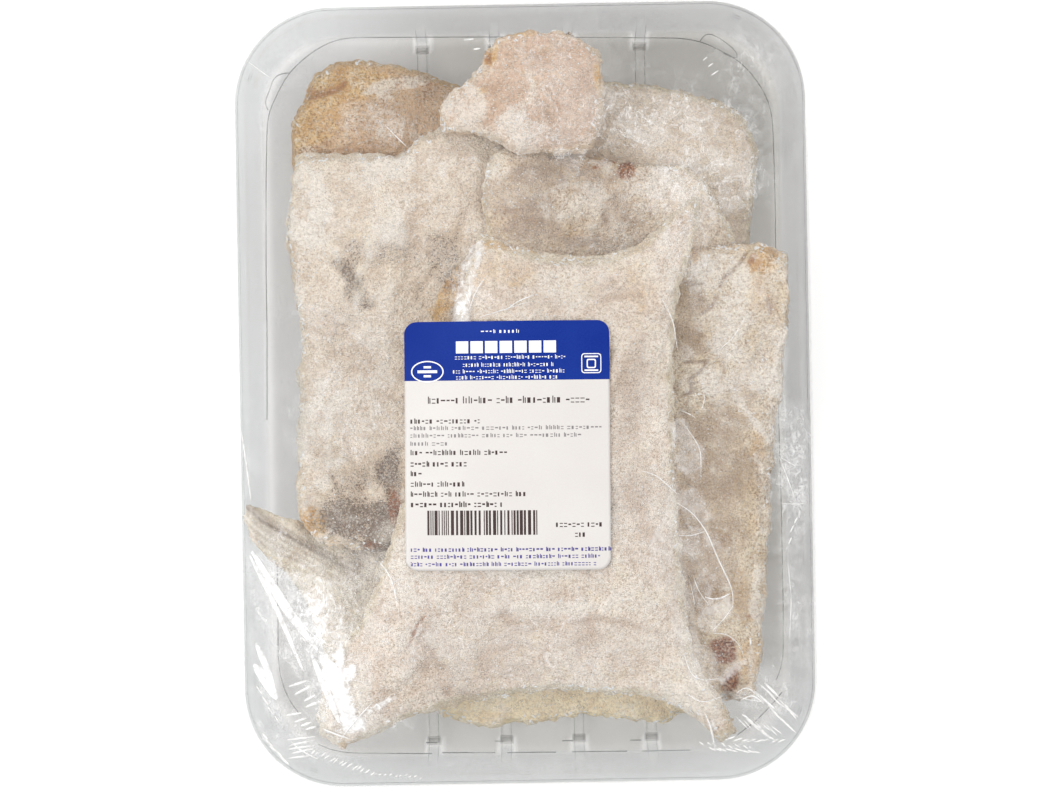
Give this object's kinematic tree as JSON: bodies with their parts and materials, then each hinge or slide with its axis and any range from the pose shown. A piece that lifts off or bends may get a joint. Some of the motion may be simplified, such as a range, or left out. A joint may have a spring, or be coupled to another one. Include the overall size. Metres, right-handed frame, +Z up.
{
  "type": "tray pack of salted dried cod",
  "caption": "Clear shallow tray of overlapping pieces of salted dried cod with a fin, closed by a clear stretched film and a plain printed label.",
  "frame": {"origin": "under the middle of the pack, on the surface it lies on", "axes": "+Z up through the film, +Y along the tray's long side towards the end with the head of the label, +X across the tray"},
  "size_m": [0.1876, 0.2554, 0.0547],
  "materials": {
    "tray_plastic": "clear thermoformed sheet, glossy",
    "wrap_film": "clear stretched film, glossy",
    "label_paper": "white satin label with a dark blue head field",
    "cod_pale": "dry flesh under a frost of salt, matt",
    "cod_golden": "cut golden flesh with fibres, matt",
    "cod_pink": "dry pinkish flesh, matt",
    "cod_skin": "grey-brown skin and flesh under salt, matt",
    "cod_fin": "dry striped fin, satin"
  },
  "bodies": {
    "root": {"tray": "tray_plastic", "film": "wrap_film", "label": "label_paper", "cod_under": "cod_golden", "cod_back_left": "cod_golden", "cod_back_right": "cod_pale", "cod_fin": "cod_fin", "cod_left": "cod_pale", "cod_middle": "cod_skin", "cod_top_flap": "cod_pink", "cod_right": "cod_skin", "cod_centre": "cod_pale"}
  },
  "joints": []
}
